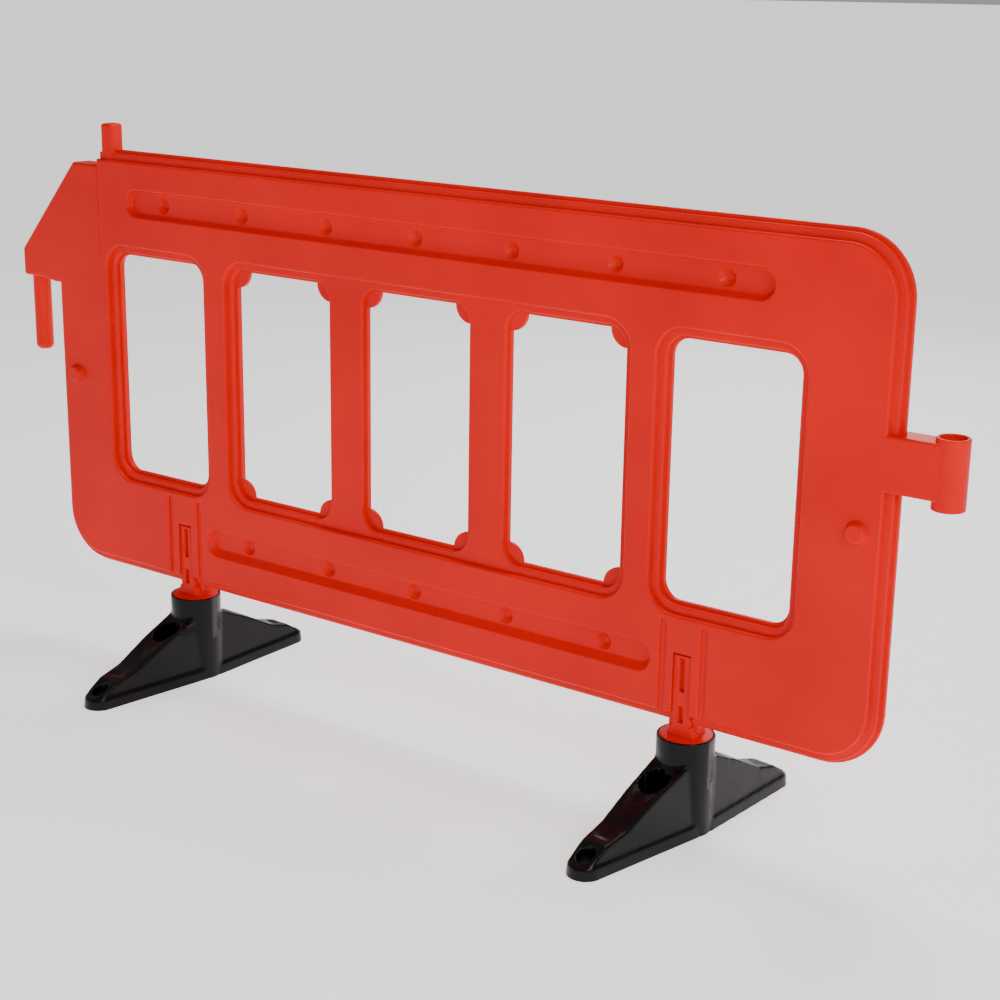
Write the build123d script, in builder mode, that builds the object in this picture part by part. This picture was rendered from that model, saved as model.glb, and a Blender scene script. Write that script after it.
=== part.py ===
"""Blow-moulded pedestrian barrier, 2 m long, on two swivelling anti-trip feet.

Frame: X along the barrier, Y through it (the front face looks along -Y), Z up.
The origin is on the ground, under the middle of the whole barrier. Millimetres.
"""
import os
from math import radians, tan

from build123d import *

# ---- moulded panel: overall sizes
panel_length = 1812.0       # left edge to right edge, without the couplings
panel_height = 830.0
panel_thick = 48.0          # over the two faces
panel_gap = 19.0            # between the top of a foot and the lower edge of the panel
corner_radius = 100.0
wall = 3.5                  # skin of the hollow moulding

# ---- stepped border, the same round the outside and round the windows
rim_thick = 8.0             # parting rim in the middle plane
rim_reach = 6.0             # how far the rim stands out of the side wall
rim_round = 1.5
ledge_thick = 28.0          # over the two ledges
ledge_width = 13.0
ledge_round = 2.5
face_round = 4.0

# ---- windows
window_count = 5
stile_width = 169.6         # panel's end to the rim of the first window
mullion_width = 85.7        # between the rims of two windows
bottom_rail = 205.0         # panel's edges to the windows' rims
top_rail = 198.0
window_radius = 30.0
lobe_radius = 31.0          # thin webs in the corners of the middle windows

# ---- long recessed channels with kiss-off cones
channel_height = 52.0
channel_depth = 13.0
channel_lip_round = 3.0
channel_floor_round = 3.0
cone_radius = 15.0          # at the mouth
cone_tip_radius = 6.0
cone_round = 1.5
cone_tip_round = 2.5
kiss_thick = 4.0            # where a front cone meets a rear cone
upper_channel_inset = 213.0 # panel's end to the channel's end
upper_channel_drop = 95.0   # panel's top to the channel's middle line
upper_leans = (6.0, 6.0)    # how far the top and bottom walls lean in, over the depth
upper_cones = 7
upper_cone_end = 88.5       # channel's end to the first cone
lower_channel_gap = 60.5    # foot axis to the channel's end
lower_channel_rise = 102.0  # panel's lower edge to the channel's middle line
lower_leans = (4.0, 12.0)
lower_cones = 5
lower_cone_end = 98.5

# ---- stacking studs on the end stiles, with matching sockets behind
stud_radius = 20.0
stud_tip_radius = 14.5
stud_height = 11.0
stud_round = 4.0
stud_dimple = 2.5
stud_inset = 56.0           # from the panel's end to the stud's middle
stud_rise = 384.0
stud_play = 1.0

# ---- coupling nose and pin at the left end
nose_reach = 89.5           # past the panel's left edge
nose_drop = 30.0            # heights below the panel's top: upper edge of the nose,
nose_tip_drop = 211.0       # upper and lower corner of its tip,
nose_low_drop = 264.0
nose_root_drop = 269.0      # and its lower edge where it leaves the panel
nose_slope_end = 67.5       # panel's left edge to the upper end of the slope
nose_shoulder = 135.5       # panel's left edge to the end of the full-height panel
nose_corner = 6.5           # ends short of the pin's root
nose_round = 5.0
seam_depth = 1.6            # groove along the shoulder
seam_width = 3.0
seam_length = 170.0
pin_radius = 17.5
pin_length = 151.0
pin_round = 11.0
pin_inset = 24.5            # from the nose's tip to the pin's axis
pin_collar = 14.0           # level ground of the nose round the pin

# ---- coupling eye at the right end
eye_reach = 98.5            # past the panel's right edge
eye_height = 108.0
eye_drop = 338.0            # panel's top to the middle of the eye
eye_wall = 5.7
pin_play = 2.3              # radial play of the next barrier's pin in the eye
arm_height = 86.0
arm_drop = 335.0
eye_arm_round = 4.0
eye_round = 2.0

# ---- lamp lug on top
lug_width = 30.0
lug_thick = 33.0
lug_height = 48.0
lug_inset = 156.5           # panel's left edge to the lug's middle
lug_round = 7.0

# ---- foot sockets in the lower rail
foot_inset = 344.0          # panel's end to a foot's axis
slot_width = 34.0           # cut through both skins, open at the bottom
slot_height = 124.0
pocket_width = 57.0
pocket_thick = 22.0
pocket_height = 132.0
groove_pitch = 76.0
groove_width = 11.0
groove_depth = 4.5
groove_round = 3.5
groove_height = 176.0
stem_play = 1.0             # round the stem in its socket; the panel rests on the wings

# ---- swivel stems
disc_thick = 9.0
disc_round = 2.0
disc_play = 0.3             # between the disc and its seat in the hub
disc_wall = 3.6             # hub rim round the stem's disc
neck_width = 39.0
neck_thick = 42.0
neck_flare = 6.0            # each way, down to the disc
spigot_radius = 28.0
swivel_play = 0.1           # radial running clearance of the spigot in the hub
stem_top_gap = 4.0          # stem's top below the slot's top
stem_relief = 3.0           # stem's face behind the panel's face
core_width = 10.0           # channel down the stem's face, bridged by a web
core_depth = 8.0
core_margin = 4.0           # solid above and below the channel
web_height = 24.0
web_rise = 34.0             # lower edge of the panel to the web
wing_drop = 11.0            # wings below the panel's lower edge

# ---- fastening from below: bolt, washer and captive nut
well_height = 36.0
well_clear = 3.0            # round the washer
washer_lip = 5.0            # washer past the spigot
washer_thick = 3.0
washer_play = 0.4           # between the washer and the foot
bolt_radius = 6.0
bolt_grip = 82.0
bolt_end_gap = 3.0          # blind end of the bolt's hole
head_across = 19.0
head_height = 7.5
nut_across = 19.0
nut_height = 10.0
nut_drop = 12.0             # bolt end to the top of the nut
thread_play = 0.05
fastener_play = 0.2

# ---- feet
foot_height = 166.0
foot_turn = {"left": -3.8, "right": -7.3}   # degrees about Z, from square to the panel
hub_radius = 48.5
hub_round = 1.5
toe_radius = 30.0
toe_offset = 243.0          # hub axis to the middle of the toe's round
flange_height = 21.0
flange_draft = 4.0          # degrees
flange_round = 3.0
body_step = 4.0             # the arm's walls stand in from the flange's top
body_draft = 3.0            # degrees
arm_root = 143.0            # height of the arm's top line at the hub axis
arm_shoulder = (110.0, 94.0)  # out from the hub axis, up from the ground
arm_knee = (176.0, 58.5)
arm_toe = (223.0, 46.0)
arm_nose = (269.0, 17.0)
dish_radius = 80.0
dish_depth = 4.0
dish_start = 50.0
dish_end = 205.0
grip_hole_radius = 25.0
grip_hole_offset = 77.0
grip_hole_floor = 24.0
toe_hole_radius = 15.0
toe_hole_offset = 241.0

# ---- places that follow from the sizes
base_z = foot_height + panel_gap
mid_x = (nose_reach - eye_reach) / 2
left_x = mid_x - panel_length / 2
right_x = mid_x + panel_length / 2
top_z = base_z + panel_height
mid_z = base_z + panel_height / 2
face_y = panel_thick / 2
face_inset = rim_reach + ledge_width
window_width = (panel_length - 2 * stile_width - (window_count - 1) * mullion_width) / window_count
window_height = panel_height - bottom_rail - top_rail
window_pitch = window_width + mullion_width
window_z = base_z + bottom_rail + window_height / 2
window_xs = [mid_x + window_pitch * (i - (window_count - 1) / 2) for i in range(window_count)]
foot_xs = {"left": left_x + foot_inset, "right": right_x - foot_inset}
shoulder_x = left_x + nose_shoulder
nose_tip_x = left_x - nose_reach
nose_low_z = top_z - nose_low_drop
pin_x = nose_tip_x + pin_inset
eye_bore_radius = pin_radius + pin_play
eye_outer_radius = eye_bore_radius + eye_wall
eye_x = right_x + eye_reach - eye_outer_radius
eye_z = top_z - eye_drop
lug_x = left_x + lug_inset
disc_radius = hub_radius - disc_wall
washer_radius = spigot_radius + washer_lip
well_radius = washer_radius + well_clear
spigot_z = well_height - washer_play
bolt_z = spigot_z - washer_thick
nut_z = bolt_z + bolt_grip - nut_drop - nut_height


def level(inset, thick, edge_round=0.0, joined=False, lobes=False):
    """One level of the stepped panel, inset all round: joined makes one opening of
    the middle windows, lobes adds the thin webs in their corners."""
    notch_low = top_z - (nose_root_drop + nose_drop) / 2
    first, last = window_xs[1], window_xs[-2]
    if joined:
        spans = [(window_xs[0], 0.0), ((first + last) / 2, last - first), (window_xs[-1], 0.0)]
    else:
        spans = [(x, 0.0) for x in window_xs]
    with BuildPart() as body:
        with BuildSketch(Plane.XZ):
            with Locations((mid_x, mid_z)):
                Rectangle(panel_length - 2 * inset, panel_height - 2 * inset)
            corners = vertices().sort_by(Axis.X)
            fillet([corners[:2].sort_by(Axis.Y)[0], *corners[2:]], corner_radius - inset)
            with Locations((left_x, notch_low)):
                Rectangle(nose_shoulder, panel_height, align=Align.MIN, mode=Mode.SUBTRACT)
            for x, extra in spans:
                with Locations((x, window_z)):
                    RectangleRounded(
                        window_width + 2 * inset + extra,
                        window_height + 2 * inset,
                        window_radius + inset,
                        mode=Mode.SUBTRACT,
                    )
            if lobes:
                for x in window_xs[1:-1]:
                    with Locations((x, window_z)):
                        with GridLocations(window_width, window_height, 2, 2):
                            Circle(lobe_radius)
        extrude(amount=thick / 2, both=True)
        if edge_round:
            ends = faces().filter_by(Axis.Y).sort_by(Axis.Y)
            fillet(ends[0].edges() + ends[-1].edges(), edge_round)
    return body.part


def nose(shrink, edge_round=0.0):
    """The nose at the left end, with its root inside the panel."""
    root_x = shoulder_x + 2 * nose_round
    with BuildPart() as body:
        with BuildSketch(Plane.XZ):
            with BuildLine():
                Polyline(
                    (nose_tip_x, nose_low_z),
                    (nose_tip_x, top_z - nose_tip_drop),
                    (left_x + nose_slope_end, top_z - nose_drop),
                    (root_x, top_z - nose_drop),
                    (root_x, top_z - nose_root_drop),
                    (left_x, top_z - nose_root_drop),
                    (pin_x + pin_radius + pin_collar, nose_low_z),
                    close=True,
                )
            make_face()
            fillet(vertices().sort_by(Axis.X)[:2], nose_corner)
            if shrink:
                offset(amount=-shrink, kind=Kind.INTERSECTION)
        extrude(amount=face_y - shrink, both=True)
        if edge_round:
            ends = faces().filter_by(Axis.Y).sort_by(Axis.Y)
            outer = (ends[0].edges() + ends[-1].edges()).sort_by(Axis.X)[:-2]
            fillet(outer, edge_round)
    return body.part


def arm(shrink, edge_round=0.0):
    """The arm of the coupling eye, with its root inside the right stile."""
    root_x = right_x - face_inset - 2 * face_round
    with BuildPart() as body:
        with BuildSketch(Plane.YZ.offset(root_x)):
            with Locations((0, top_z - arm_drop)):
                Rectangle(panel_thick - 2 * shrink, arm_height - 2 * shrink)
            if edge_round:
                fillet(vertices(), edge_round)
        extrude(amount=eye_x - root_x)
    return body.part


def round_cut(x, z, y_near, radius_near, y_far, radius_far):
    """Cuts a cone along Y out of the current part."""
    with BuildSketch(Plane.XZ.offset(-y_near)) as near:
        with Locations((x, z)):
            Circle(radius_near)
    with BuildSketch(Plane.XZ.offset(-y_far)) as far:
        with Locations((x, z)):
            Circle(radius_far)
    loft([near.sketch, far.sketch], mode=Mode.SUBTRACT)


def edges_in(y, z, reach):
    """The current part's edges in the plane at y, near height z, without upright ones."""
    found = edges().filter_by_position(Axis.Y, y - 0.01, y + 0.01)
    found = found.filter_by_position(Axis.Z, z - reach, z + reach)
    return found - found.filter_by(Axis.Z)


def channel(side, length, middle_z, leans, cones, cone_end, grow):
    """Cuts a long channel with its row of kiss-off cones into one face."""
    lean_top, lean_bottom = leans
    mouth_y = side * face_y
    floor_y = side * (face_y - channel_depth)
    cone_pitch = (length - 2 * cone_end) / (cones - 1)
    floor_z = middle_z + (lean_bottom - lean_top) / 2
    with BuildSketch(Plane.XZ.offset(-mouth_y)) as mouth:
        with Locations((mid_x, middle_z)):
            SlotOverall(length + 2 * grow, channel_height + 2 * grow)
    with BuildSketch(Plane.XZ.offset(-floor_y + side * grow)) as floor:
        with Locations((mid_x, floor_z)):
            SlotOverall(
                length - lean_top - lean_bottom + 2 * grow,
                channel_height - lean_top - lean_bottom + 2 * grow,
            )
    loft([mouth.sketch, floor.sketch], mode=Mode.SUBTRACT)
    if not grow:
        fillet(edges_in(mouth_y, middle_z, channel_height / 2 + 1), channel_lip_round)
        fillet(edges_in(floor_y, middle_z, channel_height / 2 + 1), channel_floor_round)
    tip_y = side * kiss_thick / 2
    for i in range(cones):
        x = mid_x + cone_pitch * (i - (cones - 1) / 2)
        round_cut(x, floor_z, floor_y, cone_radius + grow, tip_y, cone_tip_radius + grow)
        if grow:
            round_cut(x, floor_z, tip_y, cone_tip_radius + grow, 0, cone_tip_radius + grow)
    if not grow:
        fillet(edges_in(tip_y, floor_z, 1), cone_tip_round)
        fillet(edges_in(floor_y, floor_z, 1).filter_by(GeomType.CIRCLE), cone_round)


def recesses(grow):
    """Cuts the channels, grooves and stud sockets out of the current part.
    The cavity takes them larger by the skin."""
    for side in (-1, 1):
        channel(
            side, panel_length - 2 * upper_channel_inset, top_z - upper_channel_drop,
            upper_leans, upper_cones, upper_cone_end, grow,
        )
        channel(
            side, panel_length - 2 * (foot_inset + lower_channel_gap), base_z + lower_channel_rise,
            lower_leans, lower_cones, lower_cone_end, grow,
        )
        for x in foot_xs.values():
            for groove_x in (x - groove_pitch / 2, x + groove_pitch / 2):
                with BuildSketch(Plane.XZ.offset(-side * face_y)) as groove:
                    with Locations((groove_x, base_z + groove_height / 2)):
                        RectangleRounded(
                            groove_width + 2 * grow, groove_height + 2 * grow, groove_width / 2.01
                        )
                extrude(groove.sketch, amount=side * (groove_depth + grow), mode=Mode.SUBTRACT)
                if not grow:
                    lips = edges(Select.LAST).filter_by_position(
                        Axis.Y, side * face_y - 0.01, side * face_y + 0.01
                    )
                    fillet(lips.filter_by_position(Axis.Z, base_z + face_inset, top_z), groove_round)
    for x in (left_x + stud_inset, right_x - stud_inset):
        round_cut(
            x, base_z + stud_rise,
            face_y, stud_radius + stud_play + grow,
            face_y - stud_height - stud_play - grow, stud_tip_radius + stud_play + grow,
        )


# ---- barrier panel: stepped border and nose, hollow, with its couplings
rim_level = level(0, rim_thick, rim_round, lobes=True)
ledge_level = level(rim_reach, ledge_thick, ledge_round)
face_level = level(face_inset, panel_thick, face_round, joined=True)
nose_body = nose(0, nose_round)
arm_body = arm(0, eye_arm_round)
ledge_hollow = level(rim_reach + wall, ledge_thick - 2 * wall)
face_hollow = level(face_inset + wall, panel_thick - 2 * wall, joined=True)
nose_hollow = nose(wall)
arm_hollow = arm(wall)

with BuildPart() as cavity:
    add(ledge_hollow)
    add(face_hollow)
    add(nose_hollow)
    add(arm_hollow)
    recesses(wall)
    with BuildSketch(Plane.XY.offset(base_z)):
        with Locations(*[(x, 0) for x in foot_xs.values()]):
            Rectangle(pocket_width + 2 * wall, panel_thick)
    extrude(amount=pocket_height + wall, mode=Mode.SUBTRACT)

with BuildPart() as barrier_panel:
    add(face_level)
    add(ledge_level)
    add(rim_level)
    recesses(0)
    add(nose_body)
    add(arm_body)
    add(cavity.part, mode=Mode.SUBTRACT)
    # studs on the front face
    for x in (left_x + stud_inset, right_x - stud_inset):
        with BuildSketch(Plane.XZ.offset(face_y - wall)):
            with Locations((x, base_z + stud_rise)):
                Circle(stud_radius)
        with BuildSketch(Plane.XZ.offset(face_y + stud_height)):
            with Locations((x, base_z + stud_rise)):
                Circle(stud_tip_radius)
        loft()
    tips = faces().filter_by(Axis.Y).sort_by(Axis.Y)[:2]
    fillet(tips.edges(), stud_round)
    # lamp lug
    with BuildSketch(Plane.XY.offset(top_z - face_inset)):
        with Locations((lug_x, 0)):
            RectangleRounded(lug_width, lug_thick, lug_round)
    extrude(amount=lug_height + face_inset)
    fillet(faces().sort_by(Axis.Z)[-1].edges(), lug_round * 0.9)
    # coupling pin, hanging from the nose
    with BuildSketch(Plane.XY.offset(nose_low_z + nose_corner)):
        with Locations((pin_x, 0)):
            Circle(pin_radius)
    extrude(amount=-pin_length - nose_corner)
    pin_tip = faces().filter_by(Axis.Z).filter_by_position(Axis.X, pin_x - 1, pin_x + 1).sort_by(Axis.Z)[0]
    fillet(pin_tip.edges(), pin_round)
    # coupling eye
    with BuildSketch(Plane.XY.offset(eye_z - eye_height / 2)):
        with Locations((eye_x, 0)):
            Circle(eye_outer_radius)
    extrude(amount=eye_height)
    with BuildSketch(Plane.XY.offset(eye_z - eye_height / 2)):
        with Locations((eye_x, 0)):
            Circle(eye_bore_radius)
    extrude(amount=eye_height, mode=Mode.SUBTRACT)
    fillet(faces().filter_by(Axis.Z).sort_by(Axis.X)[-2:].edges(), eye_round)
    # seam grooves along the shoulder of the nose
    for side in (1, -1):
        with BuildSketch(Plane.XY.offset(top_z - nose_drop - seam_length)):
            with BuildLine():
                Polyline(
                    (shoulder_x - seam_width / 2, side * (face_y + 0.1)),
                    (shoulder_x, side * (face_y - seam_depth)),
                    (shoulder_x + seam_width / 2, side * (face_y + 0.1)),
                    close=True,
                )
            make_face()
        extrude(amount=seam_length, mode=Mode.SUBTRACT)
    # foot sockets
    with BuildSketch(Plane.XY.offset(base_z)):
        with Locations(*[(x, 0) for x in foot_xs.values()]):
            Rectangle(pocket_width, pocket_thick)
    extrude(amount=pocket_height, mode=Mode.SUBTRACT)
    with BuildSketch(Plane.XY.offset(base_z)):
        with Locations(*[(x, 0) for x in foot_xs.values()]):
            Rectangle(slot_width, panel_thick)
    extrude(amount=slot_height, mode=Mode.SUBTRACT)
barrier_panel.part.label = "barrier_panel"


def make_stem(x):
    """A swivel stem: cored block and wings in the socket, neck, disc and spigot."""
    block_width = slot_width - 2 * stem_play
    block_thick = panel_thick - 2 * stem_relief
    with BuildSketch(Plane.XY.offset(spigot_z)) as spigot:
        with Locations((x, 0)):
            Circle(spigot_radius)
    extrude(spigot.sketch, amount=foot_height - disc_thick / 2 - spigot_z)
    with BuildSketch(Plane.XY.offset(foot_height - disc_thick)) as disc:
        with Locations((x, 0)):
            Circle(disc_radius)
    extrude(disc.sketch, amount=disc_thick)
    fillet(faces().sort_by(Axis.Z)[-1].edges(), disc_round)
    # neck, flaring into the disc
    with BuildSketch(Plane.XY.offset(foot_height - disc_thick / 2)) as neck_low:
        with Locations((x, 0)):
            Rectangle(neck_width + 2 * neck_flare, neck_thick)
    with BuildSketch(Plane.XY.offset(base_z - stem_play)) as neck_high:
        with Locations((x, 0)):
            Rectangle(neck_width, neck_thick)
    loft([neck_low.sketch, neck_high.sketch])
    # block in the slot and wings in the pocket
    with BuildSketch(Plane.XY.offset(foot_height)) as block:
        with Locations((x, 0)):
            Rectangle(block_width, block_thick)
    extrude(block.sketch, amount=panel_gap + slot_height - stem_top_gap)
    with BuildSketch(Plane.XY.offset(base_z - wing_drop)) as wings:
        with Locations((x, 0)):
            Rectangle(pocket_width - 2 * stem_play, pocket_thick - 2 * stem_play)
    extrude(wings.sketch, amount=wing_drop + pocket_height)
    # channel down each face, over and under the web
    web_low = base_z + web_rise
    web_top = web_low + web_height
    core_low = base_z + core_margin
    core_high = base_z + slot_height - stem_top_gap - core_margin
    for side in (-1, 1):
        with BuildSketch(Plane.XZ.offset(-side * block_thick / 2)) as core:
            for z0, z1 in ((core_low, web_low), (web_top, core_high)):
                with Locations((x, (z0 + z1) / 2)):
                    Rectangle(core_width, z1 - z0)
        extrude(core.sketch, amount=side * core_depth, mode=Mode.SUBTRACT)
    # hole for the bolt and side-entry pocket for its nut
    with BuildSketch(Plane.XY.offset(spigot_z)) as bolt_hole:
        with Locations((x, 0)):
            Circle(bolt_radius + fastener_play)
    extrude(bolt_hole.sketch, amount=bolt_z + bolt_grip + bolt_end_gap - spigot_z, mode=Mode.SUBTRACT)
    with BuildSketch(Plane.XY.offset(nut_z)) as nut_pocket:
        with Locations((x, 0)):
            RegularPolygon(nut_across / 2 + fastener_play, 6, major_radius=False)
            Rectangle(
                nut_across + 2 * fastener_play, spigot_radius + 1, align=(Align.CENTER, Align.MIN)
            )
    extrude(nut_pocket.sketch, amount=nut_height + fastener_play, mode=Mode.SUBTRACT)


# ---- an anti-trip foot about its hub axis: flange, two sloping arms and the hub
with BuildPart() as foot_arms:
    # arms: plan narrowing upwards, cut to the side view
    for z in (0, foot_height):
        lean = body_step + z * tan(radians(body_draft))
        with BuildSketch(Plane.XY.offset(z)):
            Circle(hub_radius - lean)
            with Locations((-toe_offset, 0), (toe_offset, 0)):
                Circle(toe_radius - lean)
            make_hull()
    loft(ruled=True)
    with BuildSketch(Plane.XZ):
        with BuildLine():
            right = [(0, arm_root), arm_shoulder, arm_knee, arm_toe, arm_nose]
            left = [(-t, z) for t, z in reversed(right[1:])]
            Polyline(*right, (arm_nose[0], 0), (-arm_nose[0], 0), *left, close=True)
        make_face()
    extrude(amount=2 * hub_radius, both=True, mode=Mode.INTERSECT)

with BuildPart() as foot_body:
    add(foot_arms.part)
    for z in (0, flange_height):
        lean = z * tan(radians(flange_draft))
        with BuildSketch(Plane.XY.offset(z)):
            Circle(hub_radius - lean)
            with Locations((-toe_offset, 0), (toe_offset, 0)):
                Circle(toe_radius - lean)
            make_hull()
    loft(ruled=True)
    # shallow dish along the top of each arm
    for side in (1, -1):
        start_z = arm_root - (arm_root - arm_shoulder[1]) * dish_start / arm_shoulder[0] - dish_depth
        run = dish_end - dish_start
        fall = start_z - arm_knee[1] * 0.8
        line = Plane(
            origin=(side * dish_start, 0, start_z),
            x_dir=(0, 1, 0),
            z_dir=(side * run, 0, -fall),
        )
        with BuildSketch(line):
            with Locations((0, side * dish_radius)):
                Circle(dish_radius)
        extrude(amount=(run ** 2 + fall ** 2) ** 0.5, mode=Mode.SUBTRACT)
    with BuildSketch():
        Circle(hub_radius)
    extrude(amount=foot_height)
    fillet(faces().sort_by(Axis.Z)[-1].edges(), hub_round)
    # seat of the disc, bore of the spigot and well for the washer
    with BuildSketch(Plane.XY.offset(foot_height - disc_thick - disc_play)):
        Circle(disc_radius + disc_play)
    extrude(amount=foot_height, mode=Mode.SUBTRACT)
    with BuildSketch():
        Circle(spigot_radius + swivel_play)
    extrude(amount=foot_height, mode=Mode.SUBTRACT)
    with BuildSketch():
        Circle(well_radius)
    extrude(amount=well_height, mode=Mode.SUBTRACT)
    with BuildSketch(Plane.XY.offset(grip_hole_floor)):
        with Locations((-grip_hole_offset, 0), (grip_hole_offset, 0)):
            Circle(grip_hole_radius)
    extrude(amount=foot_height, mode=Mode.SUBTRACT)
    with BuildSketch():
        with Locations((-toe_hole_offset, 0), (toe_hole_offset, 0)):
            Circle(toe_hole_radius)
    extrude(amount=foot_height, mode=Mode.SUBTRACT)

with BuildPart() as foot_left:
    with Locations(Location((foot_xs["left"], 0, 0), (0, 0, 90 + foot_turn["left"]))):
        add(foot_body.part)
foot_left.part.label = "foot_left"

with BuildPart() as foot_right:
    with Locations(Location((foot_xs["right"], 0, 0), (0, 0, 90 + foot_turn["right"]))):
        add(foot_body.part)
foot_right.part.label = "foot_right"

with BuildPart() as swivel_stem_left:
    make_stem(foot_xs["left"])
swivel_stem_left.part.label = "swivel_stem_left"

with BuildPart() as swivel_stem_right:
    make_stem(foot_xs["right"])
swivel_stem_right.part.label = "swivel_stem_right"


# ---- fastening under each foot
def make_washer(x):
    """Retaining washer across the lower end of the spigot."""
    with BuildSketch(Plane.XY.offset(bolt_z)) as ring:
        with Locations((x, 0)):
            Circle(washer_radius)
            Circle(bolt_radius + fastener_play, mode=Mode.SUBTRACT)
    extrude(ring.sketch, amount=washer_thick)
    chamfer(edges().filter_by(GeomType.CIRCLE).group_by(SortBy.RADIUS)[-1], washer_thick / 5)


def make_bolt(x):
    """Hexagon bolt, head down, up through washer and stem into the nut."""
    with BuildSketch(Plane.XY.offset(bolt_z - head_height)) as head:
        with Locations((x, 0)):
            RegularPolygon(head_across / 2, 6, major_radius=False)
    extrude(head.sketch, amount=head_height)
    with BuildSketch(Plane.XY.offset(bolt_z)) as shank:
        with Locations((x, 0)):
            Circle(bolt_radius)
    extrude(shank.sketch, amount=bolt_grip)
    chamfer(faces().sort_by(Axis.Z)[-1].edges(), bolt_radius / 5)


def make_nut(x):
    """Hexagon nut in the stem's side-entry pocket."""
    with BuildSketch(Plane.XY.offset(nut_z)) as hexagon:
        with Locations((x, 0)):
            RegularPolygon(nut_across / 2, 6, major_radius=False)
            Circle(bolt_radius + thread_play, mode=Mode.SUBTRACT)
    extrude(hexagon.sketch, amount=nut_height)


with BuildPart() as retaining_washer_left:
    make_washer(foot_xs["left"])
retaining_washer_left.part.label = "retaining_washer_left"

with BuildPart() as retaining_washer_right:
    make_washer(foot_xs["right"])
retaining_washer_right.part.label = "retaining_washer_right"

with BuildPart() as pivot_bolt_left:
    make_bolt(foot_xs["left"])
pivot_bolt_left.part.label = "pivot_bolt_left"

with BuildPart() as pivot_bolt_right:
    make_bolt(foot_xs["right"])
pivot_bolt_right.part.label = "pivot_bolt_right"

with BuildPart() as captive_nut_left:
    make_nut(foot_xs["left"])
captive_nut_left.part.label = "captive_nut_left"

with BuildPart() as captive_nut_right:
    make_nut(foot_xs["right"])
captive_nut_right.part.label = "captive_nut_right"

# ---- one file for each piece
os.makedirs("parts", exist_ok=True)
export_step(barrier_panel.part, "parts/barrier_panel.step")
export_step(foot_left.part, "parts/foot_left.step")
export_step(foot_right.part, "parts/foot_right.step")
export_step(swivel_stem_left.part, "parts/swivel_stem_left.step")
export_step(swivel_stem_right.part, "parts/swivel_stem_right.step")
export_step(retaining_washer_left.part, "parts/retaining_washer_left.step")
export_step(retaining_washer_right.part, "parts/retaining_washer_right.step")
export_step(pivot_bolt_left.part, "parts/pivot_bolt_left.step")
export_step(pivot_bolt_right.part, "parts/pivot_bolt_right.step")
export_step(captive_nut_left.part, "parts/captive_nut_left.step")
export_step(captive_nut_right.part, "parts/captive_nut_right.step")
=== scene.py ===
from math import cos, radians, sin

import bpy
from mathutils import Matrix, Vector


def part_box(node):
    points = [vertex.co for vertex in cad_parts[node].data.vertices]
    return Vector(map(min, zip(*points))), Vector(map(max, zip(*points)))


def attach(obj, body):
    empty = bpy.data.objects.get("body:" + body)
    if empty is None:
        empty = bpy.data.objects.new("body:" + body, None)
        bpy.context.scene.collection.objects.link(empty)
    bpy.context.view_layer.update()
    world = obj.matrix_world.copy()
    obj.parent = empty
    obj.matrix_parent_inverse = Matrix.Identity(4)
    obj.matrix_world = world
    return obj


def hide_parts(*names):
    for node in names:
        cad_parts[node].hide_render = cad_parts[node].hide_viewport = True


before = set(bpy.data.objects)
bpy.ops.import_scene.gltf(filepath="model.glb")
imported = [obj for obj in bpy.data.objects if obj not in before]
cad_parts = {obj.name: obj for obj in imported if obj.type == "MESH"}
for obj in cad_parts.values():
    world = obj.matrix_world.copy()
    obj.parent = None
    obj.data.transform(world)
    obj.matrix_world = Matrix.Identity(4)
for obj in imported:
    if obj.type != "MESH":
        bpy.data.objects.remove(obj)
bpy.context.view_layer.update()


def srgb(code):
    # hex colour to the linear values that Blender works in
    parts = [int(code[i:i + 2], 16) / 255 for i in (1, 3, 5)]
    return [c / 12.92 if c < 0.04045 else ((c + 0.055) / 1.055) ** 2.4 for c in parts] + [1.0]


def addNode(tree, kind, inputs=None, links=None, **settings):
    # one node with its settings, socket values and incoming links
    node = tree.nodes.new(kind)
    for name, value in settings.items():
        setattr(node, name, value)
    for name, value in (inputs or {}).items():
        node.inputs[name].default_value = value
    for name, source in (links or {}).items():
        tree.links.new(source, node.inputs[name])
    return node


def newMaterial(name):
    material = bpy.data.materials.new(name)
    material.use_nodes = True
    material.node_tree.nodes.clear()
    return material, material.node_tree


def setRamp(node, first, last):
    # the two stops of a colour ramp, each a position and a hex colour
    for element, (position, code) in zip(node.color_ramp.elements, (first, last)):
        element.position, element.color = position, srgb(code)


# camera at the front right, a little above the barrier
view = {
    "place": (2.0116, -2.5013, 1.3870),
    "forward": (-0.56895, 0.77415, -0.27746),
    "right": (0.80315, 0.59560, 0.01492),
    "up": (-0.17681, 0.21435, 0.96061),
    "lens": 68.43, "sensor": 36, "clipEnd": 200,
}
cameraData = bpy.data.cameras.new("camera")
cameraData.lens = view["lens"]
cameraData.sensor_width = view["sensor"]
cameraData.clip_end = view["clipEnd"]
camera = bpy.data.objects.new("camera", cameraData)
bpy.context.collection.objects.link(camera)
turn = Matrix((view["right"], view["up"], [-c for c in view["forward"]])).transposed()
camera.matrix_world = Matrix.Translation(view["place"]) @ turn.to_4x4()
bpy.context.scene.camera = camera

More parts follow.
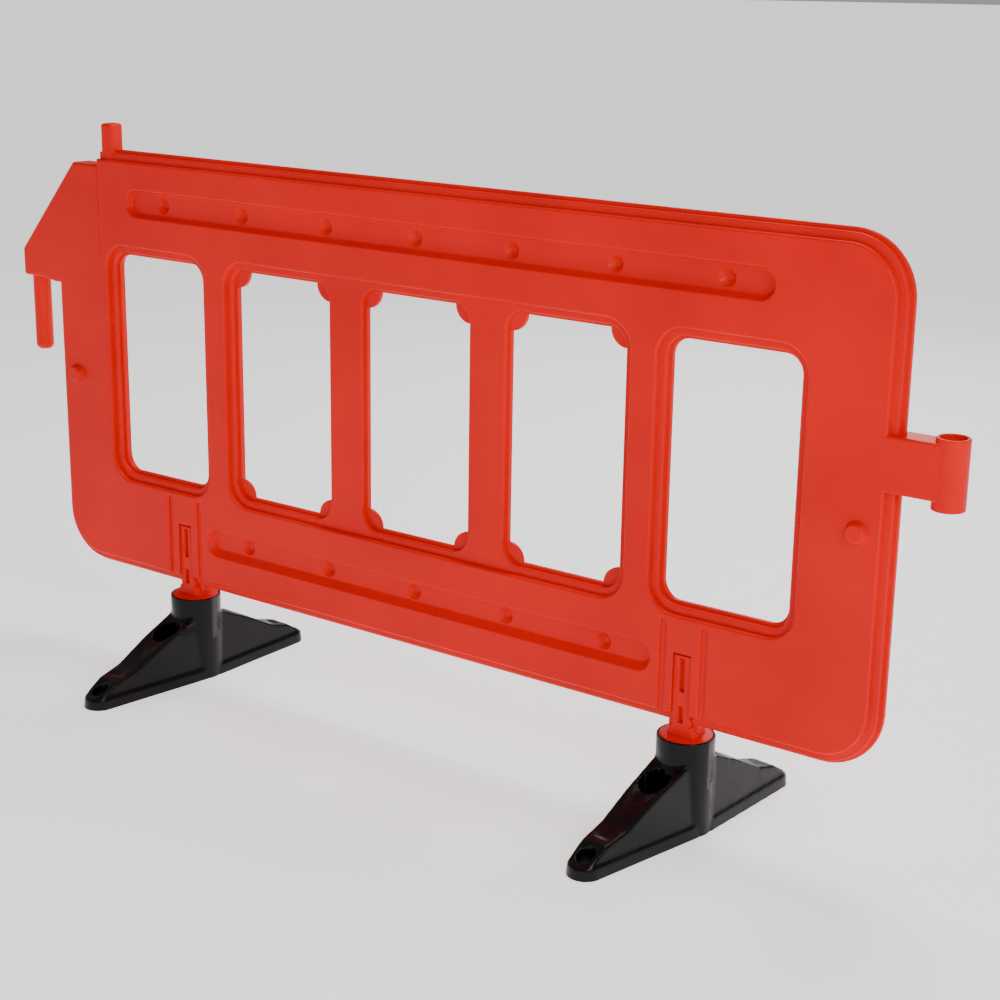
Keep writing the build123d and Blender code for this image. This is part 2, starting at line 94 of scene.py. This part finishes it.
studio = {
    # name: place, aimed at, size, power in watts
    "keyLight": ((3.2, -1.6, 2.3), (0.4, 0.0, 0.6), 1.3, 52),
    "fillLight": ((-2.6, -3.2, 1.8), (0.0, 0.0, 0.5), 2.0, 3),
    "topLight": ((0.2, 1.0, 3.4), (0.0, 0.0, 0.5), 1.6, 60),
    "backLight": ((-1.0, 3.6, 2.2), (0.0, 0.0, 0.6), 2.0, 30),
    "sky": ("#FFFFFF", 0.34),
    "floor": ("#FCFCFB", 60.0),
    "floorGlow": 0.85,
}
for name in ("keyLight", "fillLight", "topLight", "backLight"):
    place, aim, size, power = studio[name]
    lamp = bpy.data.lights.new(name, "AREA")
    lamp.shape = "DISK"
    lamp.size = size
    lamp.energy = power
    lampObject = bpy.data.objects.new(name, lamp)
    bpy.context.collection.objects.link(lampObject)
    lampObject.location = place
    lampObject.rotation_euler = (Vector(aim) - Vector(place)).to_track_quat("-Z", "Y").to_euler()

world = bpy.data.worlds.new("studio")
world.use_nodes = True
background = world.node_tree.nodes["Background"]
background.inputs["Color"].default_value = srgb(studio["sky"][0])
background.inputs["Strength"].default_value = studio["sky"][1]
bpy.context.scene.world = world

bpy.ops.object.select_all(action="DESELECT")
bpy.ops.mesh.primitive_circle_add(vertices=96, radius=studio["floor"][1], fill_type="NGON")
floor = bpy.context.active_object
floor.name = "floor"
floorPaint, tree = newMaterial("pale matt floor")
shader = addNode(tree, "ShaderNodeBsdfPrincipled", {
    "Base Color": srgb(studio["floor"][0]), "Roughness": 0.85,
    "Emission Color": srgb(studio["floor"][0]), "Emission Strength": studio["floorGlow"]})
addNode(tree, "ShaderNodeOutputMaterial", links={"Surface": shader.outputs[0]})
floor.data.materials.append(floorPaint)
print("camera, lights and floor ready")


plastic = {
    # polyethylene, blow moulded: satin, with the soft orange peel of the mould
    "colour": "#EC0000", "shade": "#DC0000", "roughness": 0.38, "specular": 0.14,
    "peelMm": 9.0, "grainMm": 1.1, "driftPerMetre": 3.5,
}


def redPlastic(name, values):
    # a saturated orange-red that drifts a little over a hand's width
    material, tree = newMaterial(name)
    place = addNode(tree, "ShaderNodeTexCoord").outputs["Object"]
    cloud = addNode(tree, "ShaderNodeTexNoise", {
        "Scale": values["driftPerMetre"], "Detail": 3.0}, {"Vector": place})
    tint = addNode(tree, "ShaderNodeValToRGB", links={"Fac": cloud.outputs["Fac"]})
    setRamp(tint, (0.35, values["shade"]), (0.65, values["colour"]))
    peel = addNode(tree, "ShaderNodeTexNoise", {
        "Scale": 1000 / values["peelMm"], "Detail": 2.0}, {"Vector": place})
    grain = addNode(tree, "ShaderNodeTexNoise", {
        "Scale": 1000 / values["grainMm"], "Detail": 1.0}, {"Vector": place})
    gloss = addNode(tree, "ShaderNodeMapRange", {
        "From Min": 0.3, "From Max": 0.7, "To Min": values["roughness"] - 0.04,
        "To Max": values["roughness"] + 0.05}, {"Value": cloud.outputs["Fac"]})
    soft = addNode(tree, "ShaderNodeBump", {"Strength": 0.25, "Distance": 0.0006},
                   {"Height": peel.outputs["Fac"]})
    fine = addNode(tree, "ShaderNodeBump", {"Strength": 0.12, "Distance": 0.0002},
                   {"Height": grain.outputs["Fac"], "Normal": soft.outputs["Normal"]})
    shader = addNode(tree, "ShaderNodeBsdfPrincipled", {
        "IOR": 1.51, "Specular IOR Level": values["specular"]}, {
        "Base Color": tint.outputs["Color"], "Roughness": gloss.outputs["Result"],
        "Normal": fine.outputs["Normal"]})
    addNode(tree, "ShaderNodeOutputMaterial", links={"Surface": shader.outputs[0]})
    return material


compound = {
    # recycled PVC compound, compression moulded: black with a wet-looking skin,
    # a faint pebbled flow and a paler painted sheen on what faces up, patchy with the flow
    "colour": "#040405", "paintedSheenColour": "#0E0E10", "roughness": 0.26, "specular": 0.16,
    "pebbleMm": 3.2, "flowMm": 45.0,
}


def blackCompound(name, values):
    material, tree = newMaterial(name)
    place = addNode(tree, "ShaderNodeTexCoord").outputs["Object"]
    facing = addNode(tree, "ShaderNodeSeparateXYZ", links={
        "Vector": addNode(tree, "ShaderNodeNewGeometry").outputs["Normal"]})
    flow = addNode(tree, "ShaderNodeTexNoise", {
        "Scale": 1000 / values["flowMm"], "Detail": 4.0}, {"Vector": place})
    pebble = addNode(tree, "ShaderNodeTexNoise", {
        "Scale": 1000 / values["pebbleMm"], "Detail": 2.0}, {"Vector": place})
    # painted sheen: the upward part of the normal times the flow noise tints faces that point up
    # paler
    paintedSheenMask = addNode(tree, "ShaderNodeMath", links={0: facing.outputs["Z"], 1: flow.outputs["Fac"]},
                    operation="MULTIPLY", use_clamp=True)
    tint = addNode(tree, "ShaderNodeValToRGB", links={"Fac": paintedSheenMask.outputs[0]})
    setRamp(tint, (0.25, values["colour"]), (0.75, values["paintedSheenColour"]))
    gloss = addNode(tree, "ShaderNodeMapRange", {
        "From Min": 0.3, "From Max": 0.7, "To Min": values["roughness"] - 0.05,
        "To Max": values["roughness"] + 0.12}, {"Value": flow.outputs["Fac"]})
    bump = addNode(tree, "ShaderNodeBump", {"Strength": 0.22, "Distance": 0.0005},
                   {"Height": pebble.outputs["Fac"]})
    shader = addNode(tree, "ShaderNodeBsdfPrincipled", {
        "IOR": 1.54, "Specular IOR Level": values["specular"]}, {
        "Base Color": tint.outputs["Color"], "Roughness": gloss.outputs["Result"],
        "Normal": bump.outputs["Normal"]})
    addNode(tree, "ShaderNodeOutputMaterial", links={"Surface": shader.outputs[0]})
    return material


zinc = {
    # mild steel, cold formed and zinc plated: pale grey with cloudy passivation
    "colour": "#B9BCC0", "cloud": "#A3A5A0", "roughness": 0.3, "cloudMm": 6.0, "scratchMm": 0.8,
}


def zincSteel(name, values):
    material, tree = newMaterial(name)
    place = addNode(tree, "ShaderNodeTexCoord").outputs["Object"]
    cloud = addNode(tree, "ShaderNodeTexNoise", {
        "Scale": 1000 / values["cloudMm"], "Detail": 3.0}, {"Vector": place})
    scratch = addNode(tree, "ShaderNodeTexNoise", {
        "Scale": 1000 / values["scratchMm"], "Detail": 2.0}, {"Vector": place})
    tint = addNode(tree, "ShaderNodeValToRGB", links={"Fac": cloud.outputs["Fac"]})
    setRamp(tint, (0.35, values["cloud"]), (0.65, values["colour"]))
    gloss = addNode(tree, "ShaderNodeMapRange", {
        "From Min": 0.3, "From Max": 0.7, "To Min": values["roughness"] - 0.06,
        "To Max": values["roughness"] + 0.1}, {"Value": cloud.outputs["Fac"]})
    bump = addNode(tree, "ShaderNodeBump", {"Strength": 0.15, "Distance": 0.0001},
                   {"Height": scratch.outputs["Fac"]})
    shader = addNode(tree, "ShaderNodeBsdfPrincipled", {"Metallic": 1.0}, {
        "Base Color": tint.outputs["Color"], "Roughness": gloss.outputs["Result"],
        "Normal": bump.outputs["Normal"]})
    addNode(tree, "ShaderNodeOutputMaterial", links={"Surface": shader.outputs[0]})
    return material


panelPlastic = redPlastic("blow-moulded polyethylene", plastic)
stemPlastic = redPlastic("injection-moulded polyethylene", dict(plastic, peelMm=4.0))
footCompound = blackCompound("compression-moulded recycled pvc", compound)
platedSteel = zincSteel("cold-formed zinc-plated steel", zinc)
print("materials ready")


# the panel and the fasteners keep their frame shapes
def paint(nodeName, material):
    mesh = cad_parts[nodeName].data
    mesh.materials.clear()
    mesh.materials.append(material)


paint("barrier_panel", panelPlastic)
for side in ("left", "right"):
    for fastener in ("retaining_washer_", "pivot_bolt_", "captive_nut_"):
        paint(fastener + side, platedSteel)
print("panel and fasteners painted")


mergeGap = 0.00002   # metres: corners of the loose triangles this near are one point


def copyNode(nodeName, name):
    # the node's mesh as a piece of its own, with its loose triangles merged
    bpy.ops.object.select_all(action="DESELECT")
    piece = bpy.data.objects.new(name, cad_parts[nodeName].data.copy())
    bpy.context.collection.objects.link(piece)
    piece.data.materials.clear()
    bpy.context.view_layer.objects.active = piece
    piece.select_set(True)
    bpy.ops.object.mode_set(mode="EDIT")
    bpy.ops.mesh.select_all(action="SELECT")
    bpy.ops.mesh.remove_doubles(threshold=mergeGap)
    bpy.ops.object.mode_set(mode="OBJECT")
    return piece


# stems: small broken edges catch the light round the slot
stemEdge = {"width": 0.0009, "segments": 2, "flat": 1.0, "angle": 30}


def makeStem(side):
    piece = copyNode("swivel_stem_" + side, "moulded_stem_" + side)
    bpy.ops.object.mode_set(mode="EDIT")
    bpy.ops.mesh.select_all(action="SELECT")
    bpy.ops.mesh.dissolve_limited(angle_limit=radians(stemEdge["flat"]))
    bpy.ops.object.mode_set(mode="OBJECT")
    edge = piece.modifiers.new("broken edges", "BEVEL")
    edge.width = stemEdge["width"]
    edge.segments = stemEdge["segments"]
    edge.limit_method = "ANGLE"
    edge.angle_limit = radians(stemEdge["angle"])
    bpy.ops.object.modifier_apply(modifier=edge.name)
    bpy.ops.object.shade_smooth_by_angle(angle=radians(stemEdge["angle"]))
    piece.data.materials.append(stemPlastic)
    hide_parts("swivel_stem_" + side)
    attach(piece, "panel_assembly")
    return piece


for side in ("left", "right"):
    makeStem(side)
print("stems ready")


# feet: one soft moulding, ridges and hollows rounded over a few mm
foot = {
    "voxel": 0.0017, "passes": 60, "snap": 0.0015,
    "hubRounds": (0.0485, 0.0281), "gripHole": (0.077, 0.025), "toeHole": (0.241, 0.015),
    "crispFrom": 0.146, "crispTo": 0.156,   # heights where the hub turns crisp
    "crispSoftness": 0.2, "boreRadius": 0.0455, "groundKeep": 0.0012,
    "turn": {"left": -3.8, "right": -7.3},
}


def footSoftness(point, hubX):
    # 1 where the moulding is soft, near 0 at the hub's rim, its bore and the ground
    if point.z < foot["groundKeep"] or (point.x - hubX) ** 2 + point.y ** 2 < foot["boreRadius"] ** 2:
        return foot["crispSoftness"] if point.z > foot["crispTo"] else 0.0
    rise = (point.z - foot["crispFrom"]) / (foot["crispTo"] - foot["crispFrom"])
    return 1 - (1 - foot["crispSoftness"]) * min(max(rise, 0), 1)


def roundWalls(piece, hubX, turn):
    # the remesh keeps the facets of round walls, so points near a circle go back onto it
    along = Vector((-sin(turn), cos(turn), 0))
    circles = [(Vector((hubX, 0, 0)), radius) for radius in foot["hubRounds"]]
    for reach, radius in (foot["gripHole"], foot["toeHole"]):
        circles += [(Vector((hubX, 0, 0)) + along * reach * way, radius) for way in (-1, 1)]
    for vertex in piece.data.vertices:
        for middle, radius in circles:
            out = Vector((vertex.co.x - middle.x, vertex.co.y - middle.y, 0))
            if abs(out.length - radius) < foot["snap"]:
                vertex.co += out * (radius / out.length - 1)


def makeFoot(side):
    piece = copyNode("foot_" + side, "moulded_foot_" + side)
    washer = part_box("retaining_washer_" + side)
    hubX = (washer[0][0] + washer[1][0]) / 2
    piece.data.remesh_voxel_size = foot["voxel"]
    piece.data.remesh_voxel_adaptivity = 0
    bpy.ops.object.voxel_remesh()
    roundWalls(piece, hubX, radians(foot["turn"][side]))
    group = piece.vertex_groups.new(name="soft")
    for vertex in piece.data.vertices:
        group.add([vertex.index], footSoftness(vertex.co, hubX), "REPLACE")
    soft = piece.modifiers.new("soft ridges", "SMOOTH")
    soft.factor = 0.5
    soft.iterations = foot["passes"]
    soft.vertex_group = group.name
    bpy.ops.object.modifier_apply(modifier=soft.name)
    piece.vertex_groups.clear()
    bpy.ops.object.shade_smooth()
    piece.data.materials.clear()
    piece.data.materials.append(footCompound)
    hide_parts("foot_" + side)
    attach(piece, side + "_foot")
    print("foot", side, len(piece.data.polygons), "faces")
    return piece


for side in ("left", "right"):
    makeFoot(side)
print("feet ready")
